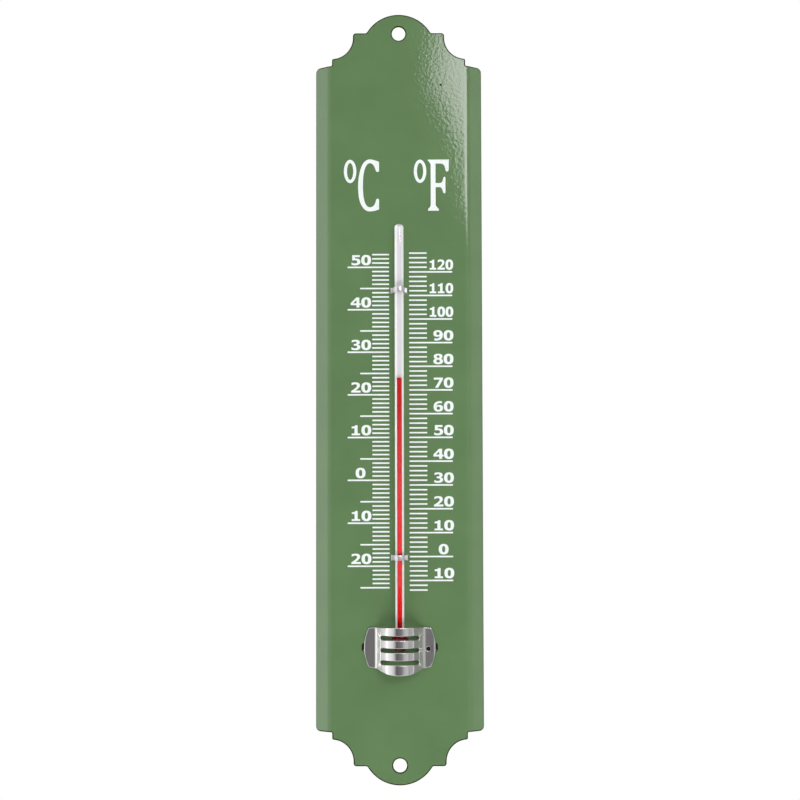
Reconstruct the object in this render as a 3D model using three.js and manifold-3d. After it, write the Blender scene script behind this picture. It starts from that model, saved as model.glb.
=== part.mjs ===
// Wall thermometer: a folded steel plate, a glass stem with red spirit, two straps and a bulb guard.
// Millimetres. +Z is up, the front faces -Y, the wall is the plane Y = 0 and X = 0 is the middle.
import * as THREE from "three";
import { mergeVertices } from "three/addons/utils/BufferGeometryUtils.js";
import Module from "manifold-3d";

const wasm = await Module();
wasm.setup();

const ROUND = 64; // segments of a full turn
const AIR = 0.1; // gap between pieces that touch
const BEYOND = 40; // how far a cutting tool reaches past the part

// The folded plate. Front and rear are the two faces of its flat field.
const SHEET = 0.8;
const DEPTH = 6;
const FRONT = -DEPTH;
const REAR = FRONT + SHEET;
const HALF_WIDTH = 32.5;
const HALF_HEIGHT = 150;
const FOLD_X = 27.1;
const FOLD_ANGLE = 45;
const FOLD_RADIUS = 3.4;
const FLANGE_HALF_HEIGHT = 129.7;
const FLANGE_CORNER = 1.8;
const COVE_RADIUS = 8.4;
const COVE_X = 26.3;
const COVE_Z = 140.9;
const COVE_TIP = 0.7;
const SHOULDER_Z = 142.7;
const SHOULDER_CORNER = 1.1;
const DOME_RADIUS = 14.5;
const DOME_FILLET = 1;
const HANGING_HOLE_RADIUS = 2.65;
const HANGING_HOLE_Z = 142.4;

// The glass stem and its bulb, around one upright axis.
const STEM_RADIUS = 1.75;
const STEM_TOP = 66.6;
const STEM_FOOT = -89.5;
const STEM_TIP_RADIUS = 1.4;
const BORE_RADIUS = 0.64;
const BORE_TOP = 63.6;
const BULB_RADIUS = 3.6;
const BULB_WALL = 0.6;
const BULB_Z = -95.25;
const BULB_CLEARANCE = 0.15;
const GLASS_Y = FRONT - BULB_CLEARANCE - BULB_RADIUS;
const OPAL_HALF_WIDTH = 1.1;
const OPAL_FRONT = 0.85; // behind the axis
const OPAL_BACK = 1.1;
const OPAL_TOP = 65.6;
const SEAT_GAP = 0.05;

// The red spirit, reading 24 degrees C.
const SPIRIT_GAP = 0.05;
const LEVEL_Z = 6.9;
const MENISCUS_HEIGHT = 0.6;
const MENISCUS_DIP = 0.25;

// The straps over the stem.
const STRAP_SHEET = 0.3;
const STRAP_HALF_HEIGHT = 1;
const STRAP_LEG_X = 3.15;
const STRAP_TOE = 0.4; // where the arch meets a foot
const STRAP_CLENCH = 1.7;
const STRAP_HEIGHTS = { upper_strap: 41.1, lower_strap: -62.7 };

// The guard over the bulb.
const GUARD_SHEET = 0.5;
const GUARD_RADIUS = 7.15;
const GUARD_SLOPE = 50; // degrees between a side of the bulge and the plate
const GUARD_REACH = 8;
const GUARD_FILLET = 1.6;
const EAR_HALF_WIDTH = 13.75;
const EAR_BOW = 17;
const EAR_BOW_ANGLE = 25.8;
const EAR_Z = -97.15;
const TAB_HALF_HEIGHT = 1.1;
const TAB_ROOT = 1; // how far a tab overlaps its ear
const TAB_CLENCH = 2.4;
const GUARD_SLOT_HEIGHTS = [-93.4, -98.1, -102.8];
const GUARD_SLOT_HALF_WIDTH = 7.3;
const GUARD_SLOT_RADIUS = 0.82;

// Slots in the plate leave this much room round a tab or a strap's leg.
const SLOT_ROOM = 0.1;
const STRAP_SLOT_SHOWING = 0.1;
const TAB_SLOT_SHOWING = 0.5;

const radians = THREE.MathUtils.degToRad;

// Points along an arc, both ends included, with angles in degrees.
function arc(x, y, radius, from, to, steps) {
  return Array.from({ length: steps + 1 }, (_, i) => {
    const angle = radians(from + ((to - from) * i) / steps);
    return [x + radius * Math.cos(angle), y + radius * Math.sin(angle)];
  });
}

const mirrored = (points) => points.map(([x, y]) => [-x, y]).reverse();

const rectangle = (x0, y0, x1, y1) => [[x0, y0], [x1, y0], [x1, y1], [x0, y1]];

// A closed shape through the points, with repeated neighbours left out.
function shapeOf(points) {
  const kept = points.filter(([x, y], i) => {
    const [u, v] = points[(i + 1) % points.length];
    return Math.hypot(x - u, y - v) > 1e-4;
  });
  return new THREE.Shape(kept.map(([x, y]) => new THREE.Vector2(x, y)));
}

function solidOf(geometry) {
  geometry.deleteAttribute("normal");
  geometry.deleteAttribute("uv");
  const merged = mergeVertices(geometry);
  const vertProperties = merged.attributes.position.array;
  const triVerts = new Uint32Array(merged.index.array);
  return new wasm.Manifold(new wasm.Mesh({ numProp: 3, vertProperties, triVerts }));
}

// A section drawn in plan, as (X, Y), made into a solid from height z0 to z1.
function standing(points, z0, z1) {
  const settings = { depth: z1 - z0, bevelEnabled: false };
  return solidOf(new THREE.ExtrudeGeometry(shapeOf(points), settings).translate(0, 0, z0));
}

// A shape drawn in front view, as (X, Z), made into a solid from depth y0 to y1.
function facing(points, y0, y1) {
  const settings = { depth: y1 - y0, bevelEnabled: false };
  const geometry = new THREE.ExtrudeGeometry(shapeOf(points), settings);
  return solidOf(geometry.rotateX(Math.PI / 2).translate(0, y1, 0));
}

// A profile of (radius, height), from the bottom up, turned round the Z axis.
function turned(profile) {
  const points = profile.map(([radius, height]) => new THREE.Vector2(radius, height));
  return solidOf(new THREE.LatheGeometry(points, ROUND).rotateX(Math.PI / 2));
}

// The section of a bent sheet, from the middle line of the sheet.
function bentSheet(line, thickness) {
  const points = line.map(([x, y]) => new THREE.Vector2(x, y));
  const left = [];
  const right = [];
  points.forEach((point, i) => {
    const last = points[i - 1];
    const next = points[i + 1];
    const arriving = (last ? point : next).clone().sub(last ?? point).normalize();
    const leaving = (next ?? point).clone().sub(next ? point : last).normalize();
    const along = arriving.add(leaving).normalize();
    const reach = thickness / 2 / along.dot(leaving);
    left.push([point.x - along.y * reach, point.y + along.x * reach]);
    right.push([point.x + along.y * reach, point.y - along.x * reach]);
  });
  return [...right, ...left.reverse()];
}

const cutAll = (body, tools) => tools.reduce((left, tool) => left.subtract(tool), body);

// The plate in plan: a flat field, two round folds and flanges whose rear edges are flat on the wall.
function plateSection() {
  const bendX = FOLD_X - FOLD_RADIUS * Math.tan(radians(FOLD_ANGLE / 2));
  const bendY = FRONT + FOLD_RADIUS;
  const slope = Math.tan(radians(FOLD_ANGLE));
  const innerFoot = FOLD_X + DEPTH / slope - SHEET / Math.sin(radians(FOLD_ANGLE));
  const outside = [
    ...arc(bendX, bendY, FOLD_RADIUS, -90, FOLD_ANGLE - 90, 8),
    [HALF_WIDTH, FRONT + (HALF_WIDTH - FOLD_X) * slope],
    [HALF_WIDTH, 0],
  ];
  const inside = [...arc(bendX, bendY, FOLD_RADIUS - SHEET, -90, FOLD_ANGLE - 90, 8), [innerFoot, 0]];
  return [...mirrored(outside), ...outside, ...[...mirrored(inside), ...inside].reverse()];
}

// One quarter of the plate's front outline, from the flange's middle up to the top of the dome.
function plateQuarter() {
  const corner = arc(
    HALF_WIDTH - FLANGE_CORNER,
    FLANGE_HALF_HEIGHT - FLANGE_CORNER,
    FLANGE_CORNER,
    0,
    90,
    6,
  );
  const cove = arc(COVE_X, COVE_Z, COVE_RADIUS, -96, -180, 16);
  const [tipX, tipZ] = cove[0];
  const tip = arc(tipX, tipZ - COVE_TIP, COVE_TIP, 0, 90, 4);
  const shoulderX = COVE_X - COVE_RADIUS - SHOULDER_CORNER;
  const shoulder = arc(shoulderX, SHOULDER_Z - SHOULDER_CORNER, SHOULDER_CORNER, 0, 90, 4);
  const domeZ = HALF_HEIGHT - DOME_RADIUS;
  const filletZ = SHOULDER_Z + DOME_FILLET;
  const filletX = Math.sqrt((DOME_RADIUS + DOME_FILLET) ** 2 - (filletZ - domeZ) ** 2);
  const meet = THREE.MathUtils.radToDeg(Math.atan2(filletZ - domeZ, filletX));
  const fillet = arc(filletX, filletZ, DOME_FILLET, -90, meet - 180, 4);
  const dome = arc(0, domeZ, DOME_RADIUS, meet, 90, 16);
  return [...corner, [tipX + COVE_TIP, FLANGE_HALF_HEIGHT], ...tip, ...cove, ...shoulder, ...fillet, ...dome];
}

function plateOutline() {
  const upper = [...plateQuarter(), ...mirrored(plateQuarter())];
  const lower = upper.map(([x, z]) => [x, -z]).reverse();
  return [...upper, ...lower];
}

// Tools for the two hanging holes, the four strap slots and the two tab slots.
function plateCuts() {
  const cuts = [-1, 1].map((end) => arc(0, end * HANGING_HOLE_Z, HANGING_HOLE_RADIUS, 0, 360, 40));
  for (const side of [-1, 1]) {
    const strapIn = side * (STRAP_LEG_X - STRAP_SHEET / 2 - AIR);
    const strapOut = side * (STRAP_LEG_X + STRAP_SHEET / 2 + STRAP_SLOT_SHOWING);
    const strapHalf = STRAP_HALF_HEIGHT + SLOT_ROOM;
    for (const z of Object.values(STRAP_HEIGHTS)) {
      cuts.push(rectangle(strapIn, z - strapHalf, strapOut, z + strapHalf));
    }
    const tabIn = side * (EAR_HALF_WIDTH - GUARD_SHEET - AIR);
    const tabOut = side * (EAR_HALF_WIDTH + TAB_SLOT_SHOWING);
    const tabHalf = TAB_HALF_HEIGHT + SLOT_ROOM;
    cuts.push(rectangle(tabIn, EAR_Z - tabHalf, tabOut, EAR_Z + tabHalf));
  }
  return cuts.map((points) => facing(points, FRONT - 1, REAR + 1));
}

function backPlate() {
  const folded = standing(plateSection(), -HALF_HEIGHT - 1, HALF_HEIGHT + 1);
  return cutAll(folded.intersect(facing(plateOutline(), FRONT - 1, 1)), plateCuts());
}

// The opal strip's section, or its seat's when it is made larger by a gap.
const opalSection = (gap) =>
  rectangle(-OPAL_HALF_WIDTH - gap, OPAL_FRONT - gap, OPAL_HALF_WIDTH + gap, OPAL_BACK + gap);

const opalStrip = () => standing(opalSection(0), STEM_FOOT + AIR, OPAL_TOP - AIR);

// The sealed tip is rounded. The bore and the opal strip's seat are open at the foot.
function glassStem() {
  const tipZ = STEM_TOP - STEM_TIP_RADIUS;
  const glass = turned([
    [0, STEM_FOOT],
    [STEM_RADIUS, STEM_FOOT],
    ...arc(STEM_RADIUS - STEM_TIP_RADIUS, tipZ, STEM_TIP_RADIUS, 0, 90, 8),
    [0, STEM_TOP],
  ]);
  const below = STEM_FOOT - 1;
  const bore = turned([[0, below], [BORE_RADIUS, below], [BORE_RADIUS, BORE_TOP], [0, BORE_TOP]]);
  const seat = opalSection(SEAT_GAP);
  return cutAll(glass, [bore, standing(seat, below, OPAL_TOP)]);
}

// A round flask with a neck, from the bottom of the bulb to the top of the neck.
function flask(radius, neck, top) {
  const meet = THREE.MathUtils.radToDeg(Math.acos(neck / radius));
  const bulb = arc(0, BULB_Z, radius, -90, meet, 24);
  bulb[0][0] = 0;
  return [...bulb, [neck, top], [0, top]];
}

function glassBulb() {
  const top = STEM_FOOT - AIR;
  const outside = turned(flask(BULB_RADIUS, STEM_RADIUS, top));
  return outside.subtract(turned(flask(BULB_RADIUS - BULB_WALL, BORE_RADIUS, top + 1)));
}

const bulbSpirit = () =>
  turned(flask(BULB_RADIUS - BULB_WALL - SPIRIT_GAP, BORE_RADIUS - SPIRIT_GAP, STEM_FOOT - 2 * AIR));

function spiritColumn() {
  const radius = BORE_RADIUS - SPIRIT_GAP;
  const top = LEVEL_Z - MENISCUS_HEIGHT - SPIRIT_GAP;
  return turned([[0, STEM_FOOT], [radius, STEM_FOOT], [radius, top], [0, top]]);
}

// The column's top end, hollowed by the spirit's pull on the glass.
function spiritMeniscus() {
  const radius = BORE_RADIUS - SPIRIT_GAP;
  const foot = LEVEL_Z - MENISCUS_HEIGHT;
  const middle = LEVEL_Z - MENISCUS_DIP;
  return turned([[0, foot], [radius, foot], [radius, LEVEL_Z], [radius / 2, middle + MENISCUS_DIP / 4], [0, middle]]);
}

// An arch over the stem, with feet flat on the plate and ends bent outwards behind it.
function strap() {
  const archRadius = STEM_RADIUS + AIR + STRAP_SHEET / 2;
  const onPlate = FRONT - (AIR + STRAP_SHEET) / 2;
  const behind = REAR + AIR + STRAP_SHEET / 2;
  const side = [
    ...arc(0, GLASS_Y, archRadius, -90, 0, 12),
    [archRadius, onPlate - STRAP_TOE],
    [archRadius + STRAP_TOE, onPlate],
    [STRAP_LEG_X, onPlate],
    [STRAP_LEG_X, behind],
    [STRAP_LEG_X + STRAP_CLENCH, behind],
  ];
  const line = [...mirrored(side).slice(0, -1), ...side];
  return standing(bentSheet(line, STRAP_SHEET), -STRAP_HALF_HEIGHT, STRAP_HALF_HEIGHT);
}

// The middle line of the guard's sheet, from the middle of the bulge out to the ear's edge.
function guardSide() {
  const radius = GUARD_RADIUS - GUARD_SHEET / 2;
  const onPlate = FRONT - (AIR + GUARD_SHEET) / 2;
  const slope = radians(GUARD_SLOPE);
  const drop = onPlate - (FRONT - GUARD_REACH + GUARD_SHEET / 2);
  const bends = radius + GUARD_FILLET;
  const leg = (drop - bends * (1 - Math.cos(slope))) / Math.sin(slope);
  const earX = bends * Math.sin(slope) + leg * Math.cos(slope);
  return [
    ...arc(0, FRONT - GUARD_REACH + GUARD_RADIUS, radius, -90, GUARD_SLOPE - 90, 24),
    ...arc(earX, onPlate - GUARD_FILLET, GUARD_FILLET, 90 + GUARD_SLOPE, 90, 8),
    [EAR_HALF_WIDTH - GUARD_SHEET / 2, onPlate],
  ];
}

// The guard in front view: a nearly straight top, bowed ears and a lip that hangs at the bottom.
function guardOutline() {
  const side = [
    [0, -107.65],
    [3.9, -107.35],
    [5.85, -106.9],
    [7.35, -106.2],
    [8.85, -105.4],
    [10.9, -104.85],
    ...arc(EAR_HALF_WIDTH - EAR_BOW, EAR_Z, EAR_BOW, -EAR_BOW_ANGLE, EAR_BOW_ANGLE, 16),
    [11.2, -89.6],
    [7.5, -89.45],
    [0, -89.4],
  ];
  return [...side, ...mirrored(side)];
}

function guardSlot(z) {
  const end = GUARD_SLOT_HALF_WIDTH - GUARD_SLOT_RADIUS;
  const right = arc(end, z, GUARD_SLOT_RADIUS, -90, 90, 8);
  const left = arc(-end, z, GUARD_SLOT_RADIUS, 90, 270, 8);
  return facing([...right, ...left], FRONT - BEYOND, FRONT - 1);
}

// A tab that goes from an ear's edge through the plate and is bent outwards behind it.
function guardTab(side) {
  const onPlate = FRONT - (AIR + GUARD_SHEET) / 2;
  const behind = REAR + AIR + GUARD_SHEET / 2;
  const x = EAR_HALF_WIDTH - GUARD_SHEET / 2;
  const line = [[x - TAB_ROOT, onPlate], [x, onPlate], [x, behind], [x + TAB_CLENCH, behind]];
  const section = bentSheet(line, GUARD_SHEET);
  return standing(side > 0 ? section : mirrored(section), EAR_Z - TAB_HALF_HEIGHT, EAR_Z + TAB_HALF_HEIGHT);
}

function bulbGuard() {
  const line = [...mirrored(guardSide()).slice(0, -1), ...guardSide()];
  const sheet = standing(bentSheet(line, GUARD_SHEET), -BEYOND * 3, 0);
  const shell = sheet.intersect(facing(guardOutline(), FRONT - BEYOND, 0));
  return cutAll(shell, GUARD_SLOT_HEIGHTS.map(guardSlot)).add(guardTab(-1)).add(guardTab(1));
}

const enamel = { color: 0x638258, roughness: 0.25, metalness: 0 };
const clearGlass = { color: 0xe6ecee, roughness: 0.05, metalness: 0, transparent: true, opacity: 0.35 };
const opalGlass = { color: 0xf4f4f2, roughness: 0.4, metalness: 0 };
const redSpirit = { color: 0xd7201f, roughness: 0.3, metalness: 0 };
const brightSteel = { color: 0xc9c9cc, roughness: 0.2, metalness: 1 };

function piece(name, solid, look) {
  const { numProp, numVert, vertProperties, triVerts } = solid.getMesh();
  const positions = new Float32Array(numVert * 3);
  for (let i = 0; i < numVert; i++) {
    positions.set(vertProperties.subarray(i * numProp, i * numProp + 3), i * 3);
  }
  const geometry = new THREE.BufferGeometry();
  geometry.setAttribute("position", new THREE.BufferAttribute(positions, 3));
  geometry.setIndex(new THREE.BufferAttribute(triVerts, 1));
  geometry.computeVertexNormals();
  const mesh = new THREE.Mesh(geometry, new THREE.MeshStandardMaterial(look));
  mesh.name = name;
  return mesh;
}

const thermometer = new THREE.Group();
thermometer.name = "wall_thermometer";
thermometer.add(piece("back_plate", backPlate(), enamel));
thermometer.add(piece("bulb_guard", bulbGuard(), brightSteel));

for (const [name, height] of Object.entries(STRAP_HEIGHTS)) {
  const mesh = piece(name, strap(), brightSteel);
  mesh.position.z = height;
  thermometer.add(mesh);
}

const tube = new THREE.Group();
tube.name = "tube";
tube.position.y = GLASS_Y;
tube.add(piece("glass_stem", glassStem(), clearGlass));
tube.add(piece("glass_bulb", glassBulb(), clearGlass));
tube.add(piece("opal_strip", opalStrip(), opalGlass));
tube.add(piece("bulb_spirit", bulbSpirit(), redSpirit));
tube.add(piece("spirit_column", spiritColumn(), redSpirit));
tube.add(piece("spirit_meniscus", spiritMeniscus(), redSpirit));
thermometer.add(tube);

export default thermometer;
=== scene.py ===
import math

import bmesh
import bpy
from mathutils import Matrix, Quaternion, Vector


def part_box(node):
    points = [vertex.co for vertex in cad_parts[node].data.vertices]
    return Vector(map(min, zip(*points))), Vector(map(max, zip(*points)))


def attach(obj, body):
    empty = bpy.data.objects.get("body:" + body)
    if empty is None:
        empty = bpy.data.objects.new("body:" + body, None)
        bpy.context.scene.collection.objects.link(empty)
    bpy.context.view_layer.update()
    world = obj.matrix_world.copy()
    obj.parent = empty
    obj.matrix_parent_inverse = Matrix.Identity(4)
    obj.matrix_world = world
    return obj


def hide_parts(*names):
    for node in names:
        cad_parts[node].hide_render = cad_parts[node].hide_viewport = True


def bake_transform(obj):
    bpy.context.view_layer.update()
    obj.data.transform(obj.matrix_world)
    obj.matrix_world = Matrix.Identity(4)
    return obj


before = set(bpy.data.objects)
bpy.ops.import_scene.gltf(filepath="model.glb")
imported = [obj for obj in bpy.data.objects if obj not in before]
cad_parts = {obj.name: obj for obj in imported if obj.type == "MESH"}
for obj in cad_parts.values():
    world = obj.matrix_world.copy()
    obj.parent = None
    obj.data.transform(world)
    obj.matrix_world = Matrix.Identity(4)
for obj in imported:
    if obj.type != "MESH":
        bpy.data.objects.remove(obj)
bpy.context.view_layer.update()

# Everything is in metres. The plate's flat field faces -Y and the wall is the plane Y = 0.
MM = 0.001
PLATE_LOW, PLATE_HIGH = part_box("back_plate")
STEM_LOW, STEM_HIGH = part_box("glass_stem")
BULB_LOW, BULB_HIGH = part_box("glass_bulb")
GUARD_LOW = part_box("bulb_guard")[0]
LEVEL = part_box("spirit_meniscus")[1].z
COLUMN_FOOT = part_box("spirit_column")[0].z

FRONT = PLATE_LOW.y
SHEET = 0.8 * MM
REAR = FRONT + SHEET
HALF_HEIGHT = PLATE_HIGH.z
STEM_RADIUS = (STEM_HIGH.x - STEM_LOW.x) / 2
GLASS_Y = (STEM_LOW.y + STEM_HIGH.y) / 2
BULB_RADIUS = (BULB_HIGH.x - BULB_LOW.x) / 2
BULB_Z = BULB_LOW.z + BULB_RADIUS
BORE_RADIUS = 0.64 * MM
AIR = 0.1 * MM  # gap between pieces that touch
THROUGH = SHEET - 0.1 * MM  # the straight stretch of a strap or tab inside its slot
SLOT_ROOM = 0.1 * MM


# ---------------------------------------------------------------- shapes

def arc(x, z, radius, start, end, steps):
    """Points along an arc, both ends included, with angles in degrees."""
    turns = [math.radians(start + (end - start) * i / steps) for i in range(steps + 1)]
    return [(x + radius * math.cos(a), z + radius * math.sin(a)) for a in turns]


def mirrored(points):
    return [(-x, z) for x, z in reversed(points)]


def scaled(points):
    """Points given in millimetres, in metres."""
    return [(x * MM, z * MM) for x, z in points]


def rounded_box(x0, z0, x1, z1, radius, steps=3):
    corners = ((x1, z0, -90), (x1, z1, 0), (x0, z1, 90), (x0, z0, 180))
    points = []
    for x, z, start in corners:
        inner_x = x - math.copysign(radius, x - (x0 + x1) / 2)
        inner_z = z - math.copysign(radius, z - (z0 + z1) / 2)
        points += arc(inner_x, inner_z, radius, start, start + 90, steps)
    return points


def area(loop):
    pairs = zip(loop, loop[1:] + loop[:1])
    return sum(x0 * z1 - x1 * z0 for (x0, z0), (x1, z1) in pairs) / 2


def cleaned(loop, hole=False):
    """The loop without repeated points, with the material on its left."""
    kept = [p for p, q in zip(loop, loop[1:] + loop[:1]) if math.dist(p, q) > 1e-7]
    return kept[::-1] if (area(kept) < 0) != hole else kept


def drawn_in(loop, distance):
    """The loop moved into the material by a distance."""
    moved = []
    for i, here in enumerate(loop):
        before = Vector(here) - Vector(loop[i - 1])
        after = Vector(loop[(i + 1) % len(loop)]) - Vector(here)
        sides = [Vector((-d.y, d.x)).normalized() for d in (before, after)]
        reach = distance / max(0.3, 1 + sides[0].dot(sides[1]))
        moved.append(Vector(here) + (sides[0] + sides[1]) * reach)
    return moved


def blank(outline, holes, thickness, edge, rim=0.0, rimmed=0, steps=3):
    """A flat sheet in X and Z, centred on Y = 0, with rounded edges.

    The first few loops, as many as rimmed says, take the second material on the edge and on a flat rim
    beside it.
    """
    bm = bmesh.new()
    quarter = [math.pi / 2 * i / steps for i in range(steps + 1)]
    rounding = [(edge * (1 - math.sin(a)), thickness / 2 - edge * (1 - math.cos(a))) for a in quarter]
    caps = [[], []]
    loops = [cleaned(outline)] + [cleaned(hole, hole=True) for hole in holes]
    for number, loop in enumerate(loops):
        front = [(edge + rim, thickness / 2)] + rounding if number < rimmed else rounding
        rings = []
        for inset, y in front + [(inset, -y) for inset, y in reversed(front)]:
            rings.append([bm.verts.new((p.x, y, p.y)) for p in drawn_in(loop, inset)])
        for low, high in zip(rings, rings[1:]):
            for i in range(len(loop)):
                edge_face = bm.faces.new((low[i - 1], low[i], high[i], high[i - 1]))
                edge_face.material_index = 1 if number < rimmed else 0
        for cap, ring in zip(caps, (rings[0], rings[-1])):
            cap += [bm.edges.get((ring[i - 1], ring[i])) for i in range(len(loop))]
    for cap in caps:
        bmesh.ops.triangle_fill(bm, use_beauty=True, use_dissolve=False, edges=cap)
    return bm


def bend_at(course, distance):
    """Where a bent sheet's middle line is at a distance from its start, and which way it heads.

    Each stretch of the course is (length, turn in degrees). The line starts along +X.
    """
    x = y = heading = 0.0
    for length, turn in course:
        step = min(distance, length)
        if turn:
            radius = length / math.radians(turn)
            swept = step / radius
            x += radius * (math.sin(heading + swept) - math.sin(heading))
            y += radius * (math.cos(heading) - math.cos(heading + swept))
            heading += swept
        else:
            x += step * math.cos(heading)
            y += step * math.sin(heading)
        distance -= step
        if distance <= 0:
            break
    return x, y, heading


def bend_lines(course, degrees_each=7):
    """Distances at which a blank needs an edge, so that it can follow the course."""
    lines = []
    start = 0.0
    for length, turn in course:
        count = max(1, math.ceil(abs(turn) / degrees_each))
        lines += [start + length * i / count for i in range(count + 1)]
        start += length
    return sorted(set(round(s, 7) for s in lines if s > 1e-6))


def fold(bm, course, start_y):
    """Cuts a blank across its bends and bends it to the course, alike on both sides of X = 0."""
    for distance in bend_lines(course):
        for side in (-1, 1):
            everything = bm.verts[:] + bm.edges[:] + bm.faces[:]
            bmesh.ops.bisect_plane(bm, geom=everything, dist=1e-8, plane_co=(side * distance, 0, 0),
                                   plane_no=(1, 0, 0))
    for vert in bm.verts:
        side = math.copysign(1, vert.co.x)
        x, y, heading = bend_at(course, abs(vert.co.x))
        x -= vert.co.y * math.sin(heading)
        y += vert.co.y * math.cos(heading)
        vert.co = (side * x, start_y + y, vert.co.z)


def lathe(bm, profile, x, y, segments=64, axis="Z"):
    """A profile of (radius, height) turned round an axis parallel to Z, or to Y towards the viewer."""
    rings = []
    for radius, height in profile:
        turns = [2 * math.pi * i / segments for i in range(segments)] if radius > 0 else [0]
        ring = []
        for a in turns:
            u, v = radius * math.cos(a), radius * math.sin(a)
            place = (x + u, y + v, height) if axis == "Z" else (x + u, -height, y + v)
            ring.append(bm.verts.new(place))
        rings.append(ring)
    for low, high in zip(rings, rings[1:]):
        for i in range(max(len(low), len(high))):
            corners = []
            for vert in (low[i - 1 if len(low) > 1 else 0], low[i % len(low)],
                         high[i % len(high)], high[i - 1 if len(high) > 1 else 0]):
                if vert not in corners:
                    corners.append(vert)
            if len(corners) > 2:
                bm.faces.new(corners)


def piece(name, bm, materials, body="thermometer", stands_for=(), weighted=False):
    """A finished mesh object that rides on a body."""
    bmesh.ops.recalc_face_normals(bm, faces=bm.faces)
    mesh = bpy.data.meshes.new(name)
    bm.to_mesh(mesh)
    bm.free()
    mesh.shade_smooth()
    for material in materials:
        mesh.materials.append(material)
    made = bpy.data.objects.new(name, mesh)
    bpy.context.scene.collection.objects.link(made)
    if weighted:
        modifier = made.modifiers.new("flat faces stay flat", "WEIGHTED_NORMAL")
        modifier.weight = 100
    if body:
        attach(made, body)
    if stands_for:
        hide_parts(*stands_for)
    return made


# ---------------------------------------------------------------- materials

def new_material(name, colour, roughness, **sockets):
    material = bpy.data.materials.new(name)
    material.use_nodes = True
    shader = material.node_tree.nodes["Principled BSDF"]
    shader.inputs["Base Color"].default_value = (*colour, 1)
    shader.inputs["Roughness"].default_value = roughness
    for socket, value in sockets.items():
        shader.inputs[socket.replace("_", " ")].default_value = value
    return material, material.node_tree, shader


def node(tree, kind, **values):
    """A shader node. A value goes to the input of that name, or else to the node's own setting."""
    made = tree.nodes.new(kind)
    for key, value in values.items():
        name = key.replace("_", " ")
        if name in made.inputs:
            made.inputs[name].default_value = value
        else:
            setattr(made, key, value)
    return made


def noise(tree, scale, detail=2.0, stretch=(1, 1, 1)):
    """Noise in object space, in features per metre, stretched along an axis by a factor."""
    place = node(tree, "ShaderNodeTexCoord")
    mapping = node(tree, "ShaderNodeMapping", Scale=stretch)
    pattern = node(tree, "ShaderNodeTexNoise", Scale=scale, Detail=detail)
    tree.links.new(place.outputs["Object"], mapping.inputs["Vector"])
    tree.links.new(mapping.outputs["Vector"], pattern.inputs["Vector"])
    return pattern.outputs["Fac"]


def ramp(tree, source, stops):
    """A colour ramp from (position, colour) stops."""
    made = node(tree, "ShaderNodeValToRGB")
    elements = made.color_ramp.elements
    while len(elements) < len(stops):
        elements.new(0.5)
    for element, (position, colour) in zip(elements, stops):
        element.position = position
        element.color = (*colour, 1)
    tree.links.new(source, made.inputs["Fac"])
    return made.outputs["Color"]


def shades(colour, low, high):
    """Ramp stops from a darker to a lighter shade of a colour."""
    return [(place, tuple(c * factor for c in colour)) for place, factor in ((0.3, low), (0.7, high))]


def bump(tree, shader, source, strength, distance):
    made = node(tree, "ShaderNodeBump", Strength=strength, Distance=distance)
    tree.links.new(source, made.inputs["Height"])
    tree.links.new(made.outputs["Normal"], shader.inputs["Normal"])


def specks(tree, per_metre, size, chance):
    """1 inside a few scattered round specks, 0 elsewhere."""
    place = node(tree, "ShaderNodeTexCoord")
    cells = node(tree, "ShaderNodeTexVoronoi", Scale=per_metre)
    inside = node(tree, "ShaderNodeMath", operation="LESS_THAN")
    chosen = node(tree, "ShaderNodeMath", operation="LESS_THAN")
    both = node(tree, "ShaderNodeMath", operation="MULTIPLY")
    split = node(tree, "ShaderNodeSeparateColor")
    inside.inputs[1].default_value = size
    chosen.inputs[1].default_value = chance
    tree.links.new(place.outputs["Object"], cells.inputs["Vector"])
    tree.links.new(cells.outputs["Distance"], inside.inputs[0])
    tree.links.new(cells.outputs["Color"], split.inputs["Color"])
    tree.links.new(split.outputs["Red"], chosen.inputs[0])
    tree.links.new(inside.outputs["Value"], both.inputs[0])
    tree.links.new(chosen.outputs["Value"], both.inputs[1])
    return both.outputs["Value"]


def mixed(tree, factor, first, second):
    """Two colours mixed by a factor. Each is a colour or a socket."""
    made = node(tree, "ShaderNodeMix", data_type="RGBA")
    tree.links.new(factor, made.inputs["Factor"])
    for value, socket in ((first, made.inputs[6]), (second, made.inputs[7])):
        if isinstance(value, tuple):
            socket.default_value = (*value, 1)
        else:
            tree.links.new(value, socket)
    return made.outputs[2]


ENAMEL_GREEN = (0.114, 0.207, 0.086)


def enamel_material():
    """Green baked enamel: glossy, with faint mottling, orange peel and a few specks of dust."""
    material, tree, shader = new_material("green_enamel", ENAMEL_GREEN, 0.05)
    colour = ramp(tree, noise(tree, 60, 3), shades(ENAMEL_GREEN, 0.955, 1.05))
    colour = mixed(tree, specks(tree, 45, 0.012, 0.1), colour, (0.012, 0.02, 0.01))
    colour = mixed(tree, specks(tree, 70, 0.014, 0.1), colour, (0.3, 0.4, 0.27))
    tree.links.new(colour, shader.inputs["Base Color"])
    bump(tree, shader, noise(tree, 800, 1), 1, 0.013 * MM)
    return material


def ink_material():
    """White screen-printed ink, slightly uneven."""
    material, tree, shader = new_material("white_print", (0.84, 0.9, 0.87), 0.4)
    colour = ramp(tree, noise(tree, 1500, 2), [(0.3, (0.78, 0.84, 0.81)), (0.6, (0.86, 0.92, 0.9))])
    tree.links.new(colour, shader.inputs["Base Color"])
    bump(tree, shader, noise(tree, 3000, 2), 0.1, 0.02 * MM)
    return material


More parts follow.
